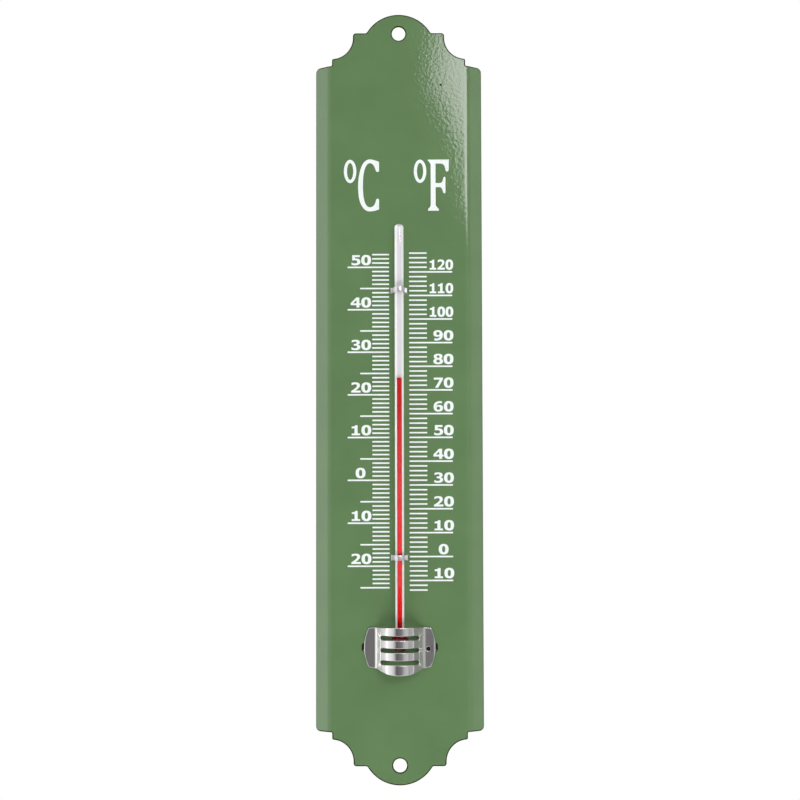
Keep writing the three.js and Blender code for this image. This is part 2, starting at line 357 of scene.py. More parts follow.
def steel_material(name, colour, roughness, streak):
    """Bright plated metal with fine upright brushing."""
    material, tree, shader = new_material(name, colour, roughness, Metallic=1.0)
    brushing = noise(tree, 2600, 3, (1, 1, streak))
    tree.links.new(ramp(tree, brushing, [(0.3, (roughness * 0.7,) * 3), (0.7, (roughness * 1.5,) * 3)]),
                   shader.inputs["Roughness"])
    bump(tree, shader, brushing, 0.15, 0.01 * MM)
    return material


def dark_steel_material():
    """Steel painted dull and dark, as painted shade where a tab sits in its slot and in the dimple's cup."""
    material, tree, shader = new_material("painted_shade_steel", (0.03, 0.028, 0.025), 0.6, Metallic=1.0)
    colour = ramp(tree, noise(tree, 1200, 3), [(0.3, (0.015, 0.014, 0.012)), (0.7, (0.05, 0.045, 0.04))])
    tree.links.new(colour, shader.inputs["Base Color"])
    return material


def glass_material(name, colour, roughness):
    """Clear glass that lets lamps through to what is inside it."""
    material, tree, shader = new_material(name, colour, roughness, Transmission_Weight=1.0, IOR=1.5,
                                          Specular_IOR_Level=0.25)
    output = tree.nodes["Material Output"]
    path = node(tree, "ShaderNodeLightPath")
    clear = node(tree, "ShaderNodeBsdfTransparent")
    mix = node(tree, "ShaderNodeMixShader")
    tree.links.new(path.outputs["Is Shadow Ray"], mix.inputs["Fac"])
    tree.links.new(shader.outputs["BSDF"], mix.inputs[1])
    tree.links.new(clear.outputs["BSDF"], mix.inputs[2])
    tree.links.new(mix.outputs["Shader"], output.inputs["Surface"])
    return material


def spirit_material(name, colour):
    """Red dyed spirit, a little uneven in depth."""
    material, tree, shader = new_material(name, colour, 0.3, Specular_IOR_Level=0.0)
    colour = ramp(tree, noise(tree, 400, 2), shades(colour, 0.9, 1.1))
    tree.links.new(colour, shader.inputs["Base Color"])
    return material


def edge_material():
    """The plate's rim, where the enamel is thin and the dark ground coat shows through."""
    material, tree, shader = new_material("thin_enamel", (0.02, 0.02, 0.01), 0.8, Specular_IOR_Level=0.0)
    colour = ramp(tree, noise(tree, 300, 2), [(0.35, (0.016, 0.014, 0.008)), (0.65, (0.03, 0.045, 0.018))])
    tree.links.new(colour, shader.inputs["Base Color"])
    return material


def opal_material(name, colour, glow):
    """White glass. A little glow stands in for the light that the clear glass gathers on it."""
    material, tree, shader = new_material(name, colour, 0.35, Emission_Strength=glow)
    shader.inputs["Emission Color"].default_value = (1.0, 0.97, 0.95, 1)
    colour = ramp(tree, noise(tree, 300, 2), shades(colour, 0.98, 1.02))
    tree.links.new(colour, shader.inputs["Base Color"])
    return material


enamel = enamel_material()
ink = ink_material()
guard_steel = steel_material("guard_steel", (0.84, 0.81, 0.82), 0.12, 0.03)
strap_steel = steel_material("strap_steel", (0.84, 0.82, 0.84), 0.36, 0.3)
painted_shade_steel = dark_steel_material()
glass = glass_material("clear_glass", (0.97, 0.985, 0.98), 0.02)
spirit = spirit_material("red_spirit", (0.72, 0.01, 0.01))
# The bulb's spirit is a darker red, for its greater depth and as painted shade inside the guard.
deep_and_shaded_spirit = spirit_material("deep_red_spirit_painted_shade", (0.2, 0.003, 0.01))
enamel_edge = edge_material()
opal_middle = opal_material("opal_glass", (0.66, 0.65, 0.69), 0.0)
# The ribbon's sides are painted brighter and glow a little, as painted light standing in for light the glass
# gathers.
opal_side_painted_glow = opal_material("opal_glass_painted_bright", (0.72, 0.71, 0.70), 0.08)


# ---------------------------------------------------------------- plate

FOLD_ANGLE = 45
FOLD_RADIUS = 3.4 * MM
FOLD_X = 27.1 * MM
STRAPS = {name: (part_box(name)[0].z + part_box(name)[1].z) / 2 for name in ("upper_strap", "lower_strap")}
STRAP_LEG_X = 3.15 * MM
EAR_Z = -97.15 * MM
PLATE_EDGE = 0.38 * MM
RIM_WIDTH = 0.08 * MM
RIMMED_LOOPS = 5  # the outline, the hanging holes and the tab slots
FLANGE_HALF_HEIGHT = 129.7 * MM
HANGING_HOLE_Z = 142.4 * MM
HANGING_HOLE_RADIUS = 2.65 * MM
STRAP_HALF_HEIGHT = 1.0 * MM
STRAP_SLOT_HALF_WIDTH = 0.25 * MM
TAB_HALF_HEIGHT = 1.1 * MM
TAB_SLOT_FROM, TAB_SLOT_TO = 13.15 * MM, 14.25 * MM


def plate_course():
    """The flat half field, the fold and the flange, until its rounded end touches the wall."""
    bend_x = FOLD_X - FOLD_RADIUS * math.tan(math.radians(FOLD_ANGLE / 2))
    middle = FOLD_RADIUS - SHEET / 2
    bend = [(bend_x, 0), (middle * math.radians(FOLD_ANGLE), FOLD_ANGLE)]
    x, y, heading = bend_at(bend, 1)
    overhang = PLATE_EDGE - (2 * PLATE_EDGE - SHEET / 2) * math.sin(heading)
    rear = -FRONT - SHEET / 2 - overhang
    return bend + [((rear - y) / math.sin(heading), 0)]


def plate_quarter(flange_end):
    """A quarter of the blank's outline, from the flange's middle up to the top of the dome."""
    corner_radius, corner_stretch = 1.8 * MM, 0.28
    corner_x = flange_end - 2.3 * MM
    corner = arc(corner_x, FLANGE_HALF_HEIGHT - corner_radius, corner_radius, 0, 90, 8)
    corner = [(x + (x - corner_x) * corner_stretch, z) for x, z in corner]
    cove_x, cove_z, cove_radius = 26.3 * MM, 140.9 * MM, 8.4 * MM
    cove = arc(cove_x, cove_z, cove_radius, -96, -180, 24)
    tip_x, tip_z = cove[0]
    tip_radius, notch_radius = 0.7 * MM, 0.5 * MM
    tip = arc(tip_x, tip_z - tip_radius, tip_radius, 0, 90, 6)
    notch_x = tip_x + tip_radius + notch_radius
    notch = arc(notch_x, FLANGE_HALF_HEIGHT + notch_radius, notch_radius, -90, -180, 4)
    shoulder_z, shoulder_radius = 142.7 * MM, 1.1 * MM
    shoulder_x = cove_x - cove_radius - shoulder_radius
    shoulder = arc(shoulder_x, shoulder_z - shoulder_radius, shoulder_radius, 0, 90, 6)
    dome_radius, fillet_radius = 14.5 * MM, 1.0 * MM
    dome_z = HALF_HEIGHT - dome_radius
    fillet_z = shoulder_z + fillet_radius
    fillet_x = math.sqrt((dome_radius + fillet_radius) ** 2 - (fillet_z - dome_z) ** 2)
    meet = math.degrees(math.atan2(fillet_z - dome_z, fillet_x))
    fillet = arc(fillet_x, fillet_z, fillet_radius, -90, meet - 180, 6)
    return corner + notch + tip + cove + shoulder + fillet + arc(0, dome_z, dome_radius, meet, 90, 24)


def plate_holes():
    """The two hanging holes, the two slots for the guard's tabs, and the straps' four slots."""
    holes = [arc(0, side * HANGING_HOLE_Z, HANGING_HOLE_RADIUS, 0, 360, 48) for side in (-1, 1)]
    half = TAB_HALF_HEIGHT + SLOT_ROOM
    for side in (-1, 1):
        x0, x1 = sorted((side * TAB_SLOT_FROM, side * TAB_SLOT_TO))
        holes.append(rounded_box(x0, EAR_Z - half, x1, EAR_Z + half, 0.4 * MM))
    half = STRAP_HALF_HEIGHT + SLOT_ROOM
    for side in (-1, 1):
        x0 = side * STRAP_LEG_X - STRAP_SLOT_HALF_WIDTH
        x1 = side * STRAP_LEG_X + STRAP_SLOT_HALF_WIDTH
        for z in STRAPS.values():
            holes.append(rounded_box(x0, z - half, x1, z + half, 0.2 * MM))
    return holes


def make_plate():
    course = plate_course()
    quarter = plate_quarter(sum(length for length, turn in course))
    upper = quarter + mirrored(quarter)
    outline = upper + [(x, -z) for x, z in reversed(upper)]
    bm = blank(outline, plate_holes(), SHEET, PLATE_EDGE, rim=RIM_WIDTH, rimmed=RIMMED_LOOPS)
    fold(bm, course, (FRONT + REAR) / 2)
    piece("enamelled_plate", bm, [enamel, enamel_edge], stands_for=["back_plate"],
          weighted=True)


make_plate()


# ---------------------------------------------------------------- straps and guard

STRAP_SHEET = 0.3 * MM


def make_strap(name, z):
    """An arch over the stem, feet on the plate, and ends that go through it and are bent outwards."""
    arch = STEM_RADIUS + AIR + STRAP_SHEET / 2
    on_plate = FRONT - AIR / 2 - STRAP_SHEET / 2
    toe, turn, clench = 0.4 * MM, 0.3 * MM, 1.4 * MM
    leg = on_plate - GLASS_Y - toe
    quarter = math.pi / 2
    foot = STRAP_LEG_X - arch - toe - turn
    course = [(arch * quarter, 90), (leg, 0), (toe * quarter, -90), (foot, 0), (turn * quarter, 90),
              (THROUGH, 0), (turn * quarter, -90), (clench, 0)]
    end = sum(length for length, turned in course)
    outline = rounded_box(-end, z - STRAP_HALF_HEIGHT, end, z + STRAP_HALF_HEIGHT, 0.3 * MM)
    bm = blank(outline, [], STRAP_SHEET, 0.1 * MM)
    fold(bm, course, GLASS_Y - arch)
    piece(name + "_band", bm, [strap_steel], stands_for=[name], weighted=True)


for strap_name, strap_z in STRAPS.items():
    make_strap(strap_name, strap_z)

GUARD_SHEET = 0.5 * MM
GUARD_BULGE = 6.9 * MM
GUARD_SLOPE = 50
GUARD_FILLET = 1.6 * MM
EAR_CURL = 34
EAR_CURL_RADIUS = 1.3 * MM
EAR_HALF_WIDTH = 13.75 * MM
EAR_BOW = 17 * MM
EAR_BOW_ANGLE = 25.8
EAR_LEVEL = FRONT - AIR / 2 - GUARD_SHEET / 2
GUARD_SLOT_HEIGHTS = (-93.4 * MM, -98.1 * MM, -102.8 * MM)
GUARD_SLOT_HALF_WIDTH = 7.35 * MM
GUARD_SLOT_HALF_HEIGHT = 0.82 * MM
TAB_SHEET = 0.44 * MM
TAB_ROOT = 1.5 * MM  # how far a tab overlaps its ear
DIMPLE_X = 11.0 * MM
DIMPLE_Z = -97.75 * MM
DIMPLE_RADIUS = 0.85 * MM


def guard_course():
    """From the crown of the bulge down its side and out along the ear, whose rim curls to the plate."""
    slope = math.radians(GUARD_SLOPE)
    curl = EAR_CURL_RADIUS * (1 - math.cos(math.radians(EAR_CURL)))
    drop = EAR_LEVEL - curl - GUARD_LOW.y - GUARD_SHEET / 2
    leg = (drop - (GUARD_BULGE + GUARD_FILLET) * (1 - math.cos(slope))) / math.sin(slope)
    side = [(GUARD_BULGE * slope, GUARD_SLOPE), (leg, 0), (GUARD_FILLET * slope, -GUARD_SLOPE)]
    flat = EAR_HALF_WIDTH - 0.75 * MM - bend_at(side, 1)[0]
    return side + [(flat, 0), (EAR_CURL_RADIUS * math.radians(EAR_CURL), EAR_CURL), (3 * MM, 0)]


def along_guard(x):
    """The distance along the guard's blank at which it is this far from the middle in front view."""
    course = guard_course()
    low, high = 0.0, sum(length for length, turn in course)
    for _ in range(40):
        middle = (low + high) / 2
        if bend_at(course, middle)[0] < x:
            low = middle
        else:
            high = middle
    return low


def guard_outline():
    """The blank: a nearly straight top, bowed ears and a lip that hangs at the bottom."""
    lip = [(0, -107.65), (2.0, -107.58), (3.9, -107.35), (5.0, -107.15), (5.85, -106.9), (7.35, -106.2)]
    cheek = [(8.1, -105.7), (8.85, -105.4), (9.8, -105.1), (10.9, -104.85), (11.6, -104.75)]
    top = [(11.2, -89.6), (9.5, -89.5), (7.5, -89.45), (4.0, -89.41), (0, -89.4)]
    ear = arc(EAR_HALF_WIDTH - EAR_BOW, EAR_Z, EAR_BOW, -EAR_BOW_ANGLE, EAR_BOW_ANGLE, 24)
    right = [(along_guard(x), z) for x, z in scaled(lip + cheek) + ear + scaled(top)]
    return right + mirrored(right)


def guard_holes():
    holes = []
    reach = along_guard(GUARD_SLOT_HALF_WIDTH)
    half = GUARD_SLOT_HALF_HEIGHT
    for z in GUARD_SLOT_HEIGHTS:
        holes.append(rounded_box(-reach, z - half, reach, z + half, 0.6 * MM, 5))
    holes.append(arc(along_guard(DIMPLE_X), DIMPLE_Z, DIMPLE_RADIUS, 0, 360, 32))
    return holes


def make_guard():
    bm = blank(guard_outline(), guard_holes(), GUARD_SHEET, 0.24 * MM)
    fold(bm, guard_course(), GUARD_LOW.y + GUARD_SHEET / 2)
    piece("guard_shell", bm, [guard_steel], stands_for=["bulb_guard"], weighted=True)


def make_guard_tab(side):
    """A tab that leaves an ear's edge, goes through the plate and is bent outwards behind it."""
    quarter = math.pi / 2
    turn, clench = 0.4 * MM, 2.0 * MM
    out = EAR_HALF_WIDTH - GUARD_SHEET / 2 - turn
    course = [(out, 0), (turn * quarter, 90), (THROUGH, 0), (turn * quarter, -90), (clench, 0)]
    end = sum(length for length, turned in course)
    start = EAR_HALF_WIDTH - TAB_ROOT
    x0, x1 = sorted((side * start, side * end))
    outline = rounded_box(x0, EAR_Z - TAB_HALF_HEIGHT, x1, EAR_Z + TAB_HALF_HEIGHT, 0.3 * MM)
    bm = blank(outline, [], TAB_SHEET, 0.12 * MM)
    fold(bm, course, EAR_LEVEL)
    # Where the tab sits in and beside its slot it is painted dark, as painted shade; the rest is bright
    # steel.
    slot_end = EAR_HALF_WIDTH + 1.0 * MM
    for face in bm.faces:
        painted_shade_in_slot = abs(face.calc_center_median().x) < slot_end
        face.material_index = 1 if painted_shade_in_slot else 0
    name = "guard_tab_left" if side < 0 else "guard_tab_right"
    piece(name, bm, [strap_steel, painted_shade_steel], weighted=True)


def make_dimple():
    """The small punch mark in the right ear, a cup with a soft rim."""
    face = -(EAR_LEVEL - GUARD_SHEET / 2)
    profile = [(DIMPLE_RADIUS + 0.1 * MM, face - 0.25 * MM), (DIMPLE_RADIUS + 0.05 * MM, face - 0.02 * MM),
               (DIMPLE_RADIUS - 0.1 * MM, face - 0.03 * MM), (DIMPLE_RADIUS * 0.6, face - 0.16 * MM),
               (DIMPLE_RADIUS * 0.3, face - 0.3 * MM), (0, face - 0.34 * MM)]
    bm = bmesh.new()
    lathe(bm, profile, DIMPLE_X, DIMPLE_Z, 32, axis="Y")
    # The cup is painted dark, as painted shade in its hollow.
    piece("guard_dimple", bm, [painted_shade_steel])


make_guard()
make_guard_tab(-1)
make_guard_tab(1)
make_dimple()


# ---------------------------------------------------------------- glass and spirit

def make_stem():
    """The clear rod, modelled solid: the thread of spirit stands inside it where the bore would be."""
    tip = 1.4 * MM
    top, foot = STEM_HIGH.z, STEM_LOW.z
    neck = arc(STEM_RADIUS - tip, top - tip, tip, 0, 78, 10)
    outside = [(0, foot), (STEM_RADIUS, foot)] + neck + [(0.45 * MM, top - 0.05 * MM), (0, top - 0.1 * MM)]
    bm = bmesh.new()
    lathe(bm, outside, 0, GLASS_Y)
    piece("stem_glass", bm, [glass], stands_for=["glass_stem"])


def make_opal():
    """The white ribbon drawn into the back of the stem. Its sides are painted brighter than its middle, with
    a little glow, as painted light.
    """
    half, bevel, middle = 1.1 * MM, 0.1 * MM, 0.45 * MM
    front, back = GLASS_Y + 0.85 * MM, GLASS_Y + 1.1 * MM
    section = mirrored([(half, back), (half, front + bevel), (half - bevel, front), (middle, front)])
    section += [(-x, y) for x, y in reversed(section)]
    bm = bmesh.new()
    low, high = [[bm.verts.new((x, y, z)) for x, y in section]
                 for z in (STEM_LOW.z + 0.3 * MM, STEM_HIGH.z - 0.95 * MM)]
    bm.faces.new(low)
    bm.faces.new(high)
    for i in range(len(section)):
        side = bm.faces.new((low[i - 1], low[i], high[i], high[i - 1]))
        # Side faces take the opal painted brighter, as painted light.
        side.material_index = 0 if abs(side.calc_center_median().x) < middle / 2 else 1
    made = piece("opal_back", bm, [opal_middle, opal_side_painted_glow], stands_for=["opal_strip"])
    made.data.shade_flat()


def make_bulb():
    """The bulb's glass, and the spirit that wets it all over inside."""
    neck = STEM_RADIUS * 0.98
    meet = math.degrees(math.acos(neck / BULB_RADIUS))
    outside = [(max(0, x), z) for x, z in arc(0, BULB_Z, BULB_RADIUS, -90, meet, 28)]
    outside += [(neck, BULB_HIGH.z), (0, BULB_HIGH.z)]
    outside[0] = (0, outside[0][1])
    bm = bmesh.new()
    lathe(bm, outside, 0, GLASS_Y)
    piece("bulb_glass", bm, [glass], stands_for=["glass_bulb"])
    wall, throat = 0.6 * MM, 0.6 * MM
    throat_top = BULB_HIGH.z - AIR
    profile = arc(0, BULB_Z, BULB_RADIUS - wall, -90, 80, 28)
    profile[0] = (0, profile[0][1])
    profile += [(throat, throat_top), (0, throat_top)]
    bm = bmesh.new()
    lathe(bm, profile, 0, GLASS_Y, 48)
    # The filling takes the darker red: deeper spirit, and painted shade.
    piece("bulb_filling", bm, [deep_and_shaded_spirit], stands_for=["bulb_spirit"])


def make_column():
    """The thread of spirit, which stretches as the level moves, and its hollow top."""
    radius = BORE_RADIUS
    foot = COLUMN_FOOT + 0.2 * MM
    top = LEVEL - 0.3 * MM
    bm = bmesh.new()
    lathe(bm, [(0, foot), (radius, foot), (radius, top), (0, top)], 0, GLASS_Y, 32)
    column = piece("spirit_thread", bm, [spirit], body=None, stands_for=["spirit_column"])
    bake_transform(column)
    # The thread casts no shadow, so the ribbon beside it stays white.
    column.visible_shadow = False
    column.visible_diffuse = False
    bm = bmesh.new()
    dish = [(radius, LEVEL), (radius * 0.8, LEVEL - 0.12 * MM), (radius * 0.4, LEVEL - 0.2 * MM),
            (0, LEVEL - 0.22 * MM)]
    lathe(bm, [(0, top - 0.2 * MM), (radius, top - 0.2 * MM)] + dish, 0, GLASS_Y, 32)
    piece("thread_top", bm, [spirit], body="spirit_level", stands_for=["spirit_meniscus"])


make_stem()
make_opal()
make_bulb()
make_column()


# ---------------------------------------------------------------- the printed scale

INK_FACE = FRONT - 0.03 * MM
INK_BACK = FRONT + 0.05 * MM
DEGREE = 1.66 * MM
ZERO_Z = -32.77 * MM
LINE = 0.6 * MM
TICK_START = 3.9 * MM
TICK_CORNER = 0.12 * MM


def fahrenheit_z(degree):
    return ZERO_Z + (degree - 32) / 1.8 * DEGREE


def printed(bm, outline, holes=()):
    """A flat printed shape, as a thin raised film on the plate's front."""
    loops = [cleaned(outline)] + [cleaned(hole, hole=True) for hole in holes]
    edges = []
    for loop in loops:
        face = [bm.verts.new((x, INK_FACE, z)) for x, z in loop]
        back = [bm.verts.new((x, INK_BACK, z)) for x, z in loop]
        for i in range(len(loop)):
            bm.faces.new((face[i - 1], face[i], back[i], back[i - 1]))
            edges.append(bm.edges.get((face[i - 1], face[i])))
    bmesh.ops.triangle_fill(bm, use_beauty=True, use_dissolve=False, edges=edges)


def print_piece(name, bm):
    made = piece(name, bm, [ink])
    made.data.shade_flat()


def oval(x, z, half_width, half_height, steps=48):
    turns = [2 * math.pi * i / steps for i in range(steps)]
    return [(x + half_width * math.cos(a), z + half_height * math.sin(a)) for a in turns]


def curve_through(corners, steps=10):
    """A closed outline of quadratic curves.

    Each corner is (x, z), or (x, z, x, z) with its control point first.
    """
    points = []
    here = corners[-1][-2:]
    for corner in corners:
        end = corner[-2:]
        if len(corner) == 4:
            control = corner[:2]
            for i in range(1, steps + 1):
                t = i / steps
                points.append(tuple((1 - t) ** 2 * a + 2 * t * (1 - t) * b + t * t * c
                                    for a, b, c in zip(here, control, end)))
        else:
            points.append(end)
        here = end
    return points


# The numerals, drawn in a cell 10 wide and 10 high. The first outline is the figure, the rest are holes.
RING = [(5, 1.9), (6.5, 1.9, 6.5, 5), (6.5, 8.1, 5, 8.1), (3.5, 8.1, 3.5, 5), (3.5, 1.9, 5, 1.9)]
SIX = [
    (8.6, 9.9), (7.6, 10.2, 6.6, 10.2), (0.5, 10.0, 0.5, 4.5), (0.5, -0.2, 5.0, -0.2), (9.5, -0.2, 9.5, 3.3),
    (9.5, 6.4, 6.0, 6.4), (4.6, 6.4, 3.4, 5.8), (3.8, 8.2, 6.8, 8.2), (7.8, 8.2, 8.4, 7.9), (8.6, 7.9),
]
NUMERALS = {
    "0": [[(5, -0.2), (9.7, -0.2, 9.7, 5), (9.7, 10.2, 5, 10.2), (0.3, 10.2, 0.3, 5),
           (0.3, -0.2, 5, -0.2)], RING],
    "1": [[(1, 0), (9, 0), (9, 1.8), (6.7, 1.8), (6.7, 10), (4.6, 10), (4.2, 8.7, 1.1, 8.6), (1.1, 6.9),
           (3.7, 6.9), (3.7, 1.8), (1, 1.8)]],
    "2": [[(0.6, 0), (9.6, 0), (9.6, 2.0), (4.6, 2.0), (9.0, 4.9, 9.0, 7.1), (9.0, 10.2, 4.7, 10.2),
           (2.4, 10.2, 1.0, 9.5), (1.0, 7.3), (1.3, 7.3), (2.8, 8.3, 4.3, 8.3), (6.1, 8.3, 6.1, 6.8),
           (6.1, 5.6, 3.6, 3.6), (0.6, 1.6)]],
    "3": [[(0.9, 0.5), (2.6, -0.2, 4.4, -0.2), (9.4, -0.2, 9.4, 3.0), (9.4, 4.8, 7.0, 5.3),
           (8.9, 5.9, 8.9, 7.5), (8.9, 10.2, 4.6, 10.2), (2.6, 10.2, 1.2, 9.5), (1.2, 7.5), (1.5, 7.5),
           (3.0, 8.4, 4.4, 8.4), (6.0, 8.4, 6.0, 7.3), (6.0, 6.1, 4.3, 6.1), (3.2, 6.1), (3.2, 4.4),
           (4.3, 4.4), (6.4, 4.4, 6.4, 3.0), (6.4, 1.7, 4.4, 1.7), (2.7, 1.7, 1.2, 2.6), (0.9, 2.6)]],
    "4": [[(5.7, 0), (8.5, 0), (8.5, 2.3), (9.9, 2.3), (9.9, 4.2), (8.5, 4.2), (8.5, 10), (5.6, 10),
           (0.2, 4.4), (0.2, 2.3), (5.7, 2.3)], [(5.7, 4.2), (2.7, 4.2), (5.7, 7.4)]],
    "5": [[(1.0, 0.5), (2.5, -0.2, 4.2, -0.2), (9.5, -0.2, 9.5, 3.3), (9.5, 6.6, 5.3, 6.6),
           (4.8, 6.6, 4.3, 6.5), (4.3, 8.0), (9.0, 8.0), (9.0, 10), (1.7, 10), (1.7, 4.6),
           (3.0, 4.9, 4.2, 4.9), (6.5, 4.9, 6.5, 3.2), (6.5, 1.7, 4.2, 1.7), (2.7, 1.7, 1.3, 2.6),
           (1.0, 2.6)]],
    "6": [SIX, [(6.6, 3.1), (6.6, 4.7, 5.1, 4.7), (3.5, 4.7, 3.5, 3.1), (3.5, 1.6, 5.1, 1.6),
                (6.6, 1.6, 6.6, 3.1)]],
    "7": [[(0.8, 10), (9.5, 10), (9.5, 8.2), (5.0, 0), (1.9, 0), (6.5, 8.0), (0.8, 8.0)]],
    "8": [[(5, -0.2), (9.6, -0.2, 9.6, 2.8), (9.6, 4.6, 7.7, 5.3), (9.2, 6.0, 9.2, 7.5),
           (9.2, 10.2, 5, 10.2), (0.8, 10.2, 0.8, 7.5), (0.8, 6.0, 2.4, 5.2), (0.4, 4.5, 0.4, 2.8),
           (0.4, -0.2, 5, -0.2)],
          [(6.4, 7.3), (6.4, 8.5, 5, 8.5), (3.6, 8.5, 3.6, 7.4), (3.6, 6.4, 5.3, 6.1), (6.4, 6.5, 6.4, 7.3)],
          [(6.7, 2.8), (6.7, 4.0, 4.7, 4.4), (3.3, 3.9, 3.3, 2.9), (3.3, 1.5, 5, 1.5),
           (6.7, 1.5, 6.7, 2.8)]],
}
NUMERALS["9"] = [[tuple(10 - value for value in corner) for corner in loop] for loop in NUMERALS["6"]]


def write_number(bm, text, right, z, cell, height=3.92 * MM):
    """Figures in cells that end at the right, standing over the line at z."""
    foot = z + 0.87 * MM
    for place, figure in enumerate(reversed(text)):
        left = right - (place + 1) * cell
        loops = [curve_through(corners) for corners in NUMERALS[figure]]
        placed = [[(left + x / 10 * cell, foot + z / 10 * height) for x, z in loop] for loop in loops]
        printed(bm, placed[0], placed[1:])


def print_tick(bm, end, z):
    """A line that runs from beside the stem out to x = end."""
    x0, x1 = sorted((math.copysign(TICK_START, end), end))
    printed(bm, rounded_box(x0, z - LINE / 2, x1, z + LINE / 2, TICK_CORNER))


def make_ticks():
    bm = bmesh.new()
    for degree in range(-25, 54):
        left = -20.1 if degree % 10 == 0 else -15.2 if degree % 5 == 0 else -10.5
        print_tick(bm, left * MM, ZERO_Z + degree * DEGREE)
    print_piece("celsius_ticks", bm)
    bm = bmesh.new()
    for degree in range(-14, 130, 2):
        right = 20.7 if degree % 10 == 0 else 10.8
        print_tick(bm, right * MM, fahrenheit_z(degree))
    print_piece("fahrenheit_ticks", bm)


def make_numerals():
    bm = bmesh.new()
    for degree in range(-20, 60, 10):
        right = -10.8 if degree else -13.05
        write_number(bm, str(abs(degree)), right * MM, ZERO_Z + degree * DEGREE, 4.08 * MM)
    print_piece("celsius_numerals", bm)
    bm = bmesh.new()
    for degree in range(-10, 130, 10):
        right = 21.2 if degree else 19.05
        cell = 3.2 if degree > 99 else 4.05
        write_number(bm, str(abs(degree)), right * MM, fahrenheit_z(degree), cell * MM)
    print_piece("fahrenheit_numerals", bm)


LETTER_C = [
    (-7.75, 91.7), (-10, 92.7, -11.5, 92.7), (-14, 92.4, -15.1, 88.4), (-15.95, 85.3, -15.95, 82.1),
    (-15.95, 77.8, -15, 75.4), (-13.7, 72.2, -11.4, 72.2), (-9.5, 72.2, -7.75, 73),
    (-7.75, 76.8), (-8.2, 77.6, -8.9, 76.8), (-9.4, 73.8, -11.4, 73.8), (-13.1, 74, -13.7, 77.4),
    (-14.05, 79.6, -14.05, 82.3), (-14.05, 85.3, -13.7, 87.2), (-13, 91.1, -11.3, 91.2),
    (-9.8, 91.2, -8.95, 88.1), (-8.3, 87.3, -7.75, 88.1),
]

LETTER_F = [
    (11.35, 92.55), (19.6, 92.55), (19.45, 88.3), (18.9, 87.4, 18.3, 88.2), (17.9, 91, 16.6, 91),
    (14.35, 91), (14.35, 83.3), (16.2, 83.3), (17.1, 83.5, 17.4, 85.3), (17.9, 86.3, 18.2, 85.3),
    (18.2, 79.6), (17.8, 78.9, 17.3, 79.6), (16.9, 81.6, 16.1, 81.7), (14.35, 81.7), (14.35, 74.7),
    (14.5, 74, 15.6, 73.1), (15.6, 72.4), (11.4, 72.4), (11.4, 73.1), (12.4, 74, 12.45, 74.7),
    (12.45, 90.4), (12.3, 91.4, 11.35, 92.1),
]


def make_signs():
    signs = {"celsius_sign": (-19.05, LETTER_C), "fahrenheit_sign": (8.3, LETTER_F)}
    for name, (ring_x, letter) in signs.items():
        bm = bmesh.new()
        x, z = ring_x * MM, 87.95 * MM
        printed(bm, oval(x, z, 2.45 * MM, 4.6 * MM), [oval(x, z, 1.2 * MM, 3.3 * MM)])
        printed(bm, scaled(curve_through(letter)))
        print_piece(name, bm)


def make_speck():
    """A chip in the enamel near the top right."""
    bm = bmesh.new()
    printed(bm, oval(16.5 * MM, 122.1 * MM, 0.5 * MM, 0.46 * MM, 9))
    piece("enamel_chip", bm, [enamel_edge])


make_ticks()
make_numerals()
make_signs()
make_speck()


# ---------------------------------------------------------------- stage

SOFTBOX_Y = -0.906
SOFTBOX_STRENGTH = 8.5
SOFTBOX_FADE = ((0, 0.2), (5 * MM, 0.45), (14 * MM, 0.75), (30 * MM, 1.0))  # (inset, level)
FLOOR_Z = -0.9
FLOOR_RADIUS = 0.55


def stage_piece(name, bm, material):
    """A finished mesh object that belongs to the stage and not to the thermometer."""
    mesh = bpy.data.meshes.new(name)
    bm.to_mesh(mesh)
    bm.free()
    mesh.materials.append(material)
    made = bpy.data.objects.new(name, mesh)
    bpy.context.scene.collection.objects.link(made)
    return made


def make_softbox():
    """The key light, a glowing panel parallel to the plate. It fades out along its soft border."""
    outline = [(30, 385), (25, 345), (24, 315), (33, 298), (42, 280), (51, 260), (56, 232), (58, 205),
               (700, 205), (700, 385)]
    loop = cleaned(scaled(outline))
    bm = bmesh.new()
    glow = bm.verts.layers.float.new("glow")
    rings = []
    for inset, level in SOFTBOX_FADE:
        ring = [bm.verts.new((x, SOFTBOX_Y, z)) for x, z in drawn_in(loop, inset)]
        for vert in ring:
            vert[glow] = level
        rings.append(ring)
    for low, high in zip(rings, rings[1:]):
        for i in range(len(loop)):
            bm.faces.new((low[i - 1], low[i], high[i], high[i - 1]))
    bm.faces.new(rings[-1])
    material = bpy.data.materials.new("softbox")
    material.use_nodes = True
    tree = material.node_tree
    level = node(tree, "ShaderNodeAttribute", attribute_name="glow")
    strength = node(tree, "ShaderNodeMath", operation="MULTIPLY")
    strength.inputs[1].default_value = SOFTBOX_STRENGTH
    emission = node(tree, "ShaderNodeEmission", Color=(1.0, 0.93, 1.0, 1))
    tree.links.new(level.outputs["Fac"], strength.inputs[0])
    tree.links.new(strength.outputs["Value"], emission.inputs["Strength"])
    tree.links.new(emission.outputs["Emission"], tree.nodes["Material Output"].inputs["Surface"])
    panel = stage_piece("softbox", bm, material)
    panel.visible_camera = False


def area_light(name, place, size, radiance):
    """A rectangular softbox that bright metal and enamel don't mirror."""
    lamp = bpy.data.lights.new(name, "AREA")
    lamp.shape = "RECTANGLE"
    lamp.size, lamp.size_y = size
    lamp.energy = radiance * size[0] * size[1] * math.pi
    holder = bpy.data.objects.new(name, lamp)
    holder.location = place
    facing = -Vector(place)
    holder.rotation_mode = "QUATERNION"
    holder.rotation_quaternion = facing.to_track_quat("-Z", "Y")
    holder.visible_glossy = False
    bpy.context.scene.collection.objects.link(holder)


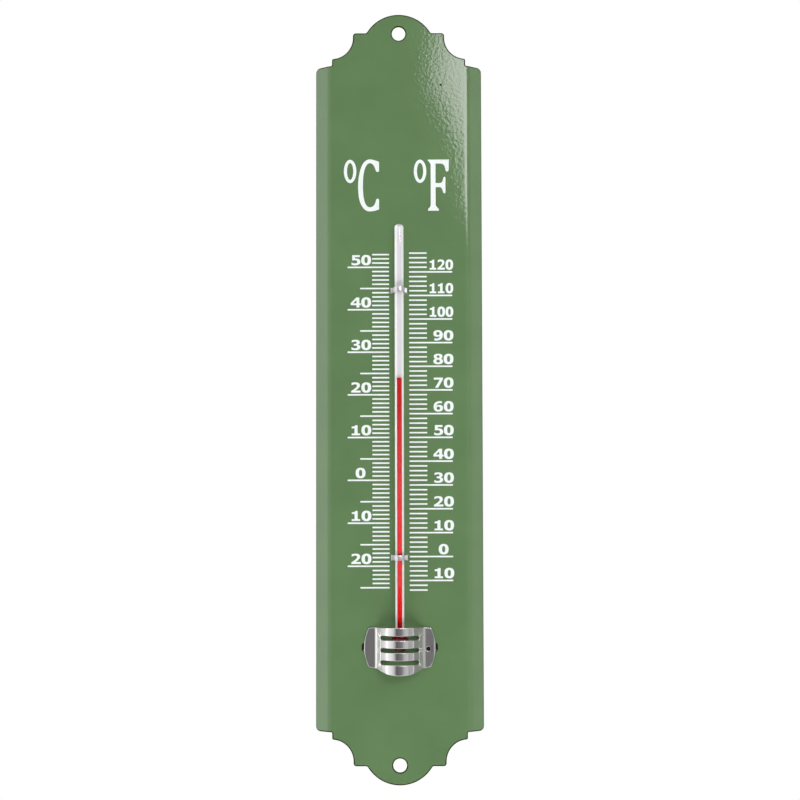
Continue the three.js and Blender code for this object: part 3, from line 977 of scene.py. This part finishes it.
def make_world():
    """A white studio to the camera. For light and reflections it is white above and below, and its
    greys go round with the bearing in between.
    """
    world = bpy.data.worlds.new("studio")
    bpy.context.scene.world = world
    world.use_nodes = True
    tree = world.node_tree
    backdrop = tree.nodes["Background"]
    backdrop.inputs["Color"].default_value = (1, 1, 1, 1)
    backdrop.inputs["Strength"].default_value = 1.0
    place = node(tree, "ShaderNodeTexCoord")
    split = node(tree, "ShaderNodeSeparateXYZ")
    forward = node(tree, "ShaderNodeMath", operation="MULTIPLY")
    forward.inputs[1].default_value = -1
    bearing = node(tree, "ShaderNodeMath", operation="ARCTAN2")
    shift = node(tree, "ShaderNodeMapRange")
    shift.inputs["From Min"].default_value = -math.pi
    shift.inputs["From Max"].default_value = math.pi
    tree.links.new(place.outputs["Generated"], split.inputs["Vector"])
    tree.links.new(split.outputs["Y"], forward.inputs[0])
    tree.links.new(split.outputs["X"], bearing.inputs[0])
    tree.links.new(forward.outputs["Value"], bearing.inputs[1])
    tree.links.new(bearing.outputs["Value"], shift.inputs["Value"])
    # Each stop is a bearing in degrees, 0 in front of the plate and 90 to its right, and a grey.
    stops = [(-180, 0.6), (-130, 0.7), (-98, 0.75), (-95, 1.9), (-87, 1.7), (-80, 1.05), (-60, 0.92),
             (-44, 0.74), (-33, 0.48), (-22, 0.13), (-12, 0.12), (4, 0.2), (17, 0.36), (36, 0.56),
             (50, 0.6), (56, 0.4), (76, 0.46), (88, 0.4), (90, 0.85), (94, 0.85), (97, 0.22), (150, 0.4)]
    around = ramp(tree, shift.outputs["Result"], [((turn + 180) / 360, (grey,) * 3) for turn, grey in stops])
    height = node(tree, "ShaderNodeMath", operation="ABSOLUTE")
    pole = node(tree, "ShaderNodeMapRange")
    pole.inputs["From Min"].default_value = 0.5
    pole.inputs["From Max"].default_value = 0.8
    tree.links.new(split.outputs["Z"], height.inputs[0])
    tree.links.new(height.outputs["Value"], pole.inputs["Value"])
    sky = mixed(tree, pole.outputs["Result"], around, (1.15, 1.15, 1.15))
    soft = node(tree, "ShaderNodeBackground", Strength=1.0)
    tree.links.new(sky, soft.inputs["Color"])
    path = node(tree, "ShaderNodeLightPath")
    mix = node(tree, "ShaderNodeMixShader")
    tree.links.new(path.outputs["Is Camera Ray"], mix.inputs["Fac"])
    tree.links.new(soft.outputs["Background"], mix.inputs[1])
    tree.links.new(backdrop.outputs["Background"], mix.inputs[2])
    tree.links.new(mix.outputs["Shader"], tree.nodes["World Output"].inputs["Surface"])


def make_floor():
    """A pale floor below the hanging thermometer, out of the camera's own view."""
    bm = bmesh.new()
    rim = oval(0, 0, FLOOR_RADIUS, FLOOR_RADIUS, 64)
    bm.faces.new([bm.verts.new((x, y, FLOOR_Z)) for x, y in rim])
    material, tree, shader = new_material("pale_floor", (0.8, 0.8, 0.8), 0.8)
    colour = ramp(tree, noise(tree, 3, 2), [(0.3, (0.78, 0.78, 0.78)), (0.7, (0.82, 0.82, 0.82))])
    tree.links.new(colour, shader.inputs["Base Color"])
    stage_piece("floor", bm, material)


CAMERA_LENS = 90.35
CAMERA_DISTANCE = 780 * MM
CAMERA_BELOW = 3.3
CAMERA_ROLL = -0.13
CAMERA_TARGET = (0.26 * MM, FRONT, -1.62 * MM)


def make_camera():
    """Square on, from a little below the plate's own normal, with a long lens."""
    data = bpy.data.cameras.new("camera")
    data.lens = CAMERA_LENS
    data.sensor_width = 36
    camera = bpy.data.objects.new("camera", data)
    below = math.radians(CAMERA_BELOW)
    target = Vector(CAMERA_TARGET)
    camera.location = target + CAMERA_DISTANCE * Vector((0, -math.cos(below), -math.sin(below)))
    facing = (target - camera.location).to_track_quat("-Z", "Y")
    camera.rotation_mode = "QUATERNION"
    camera.rotation_quaternion = facing @ Quaternion((0, 0, 1), math.radians(CAMERA_ROLL))
    bpy.context.scene.collection.objects.link(camera)
    bpy.context.scene.camera = camera
    bpy.context.scene.view_settings.view_transform = "Standard"


make_world()
make_floor()
make_camera()
make_softbox()
area_light("low_fill", (0.15, -0.8, -0.75), (0.7, 0.4), 5.4)
area_light("right_fill", (1.0, -0.4, 0.6), (0.4, 0.4), 4)
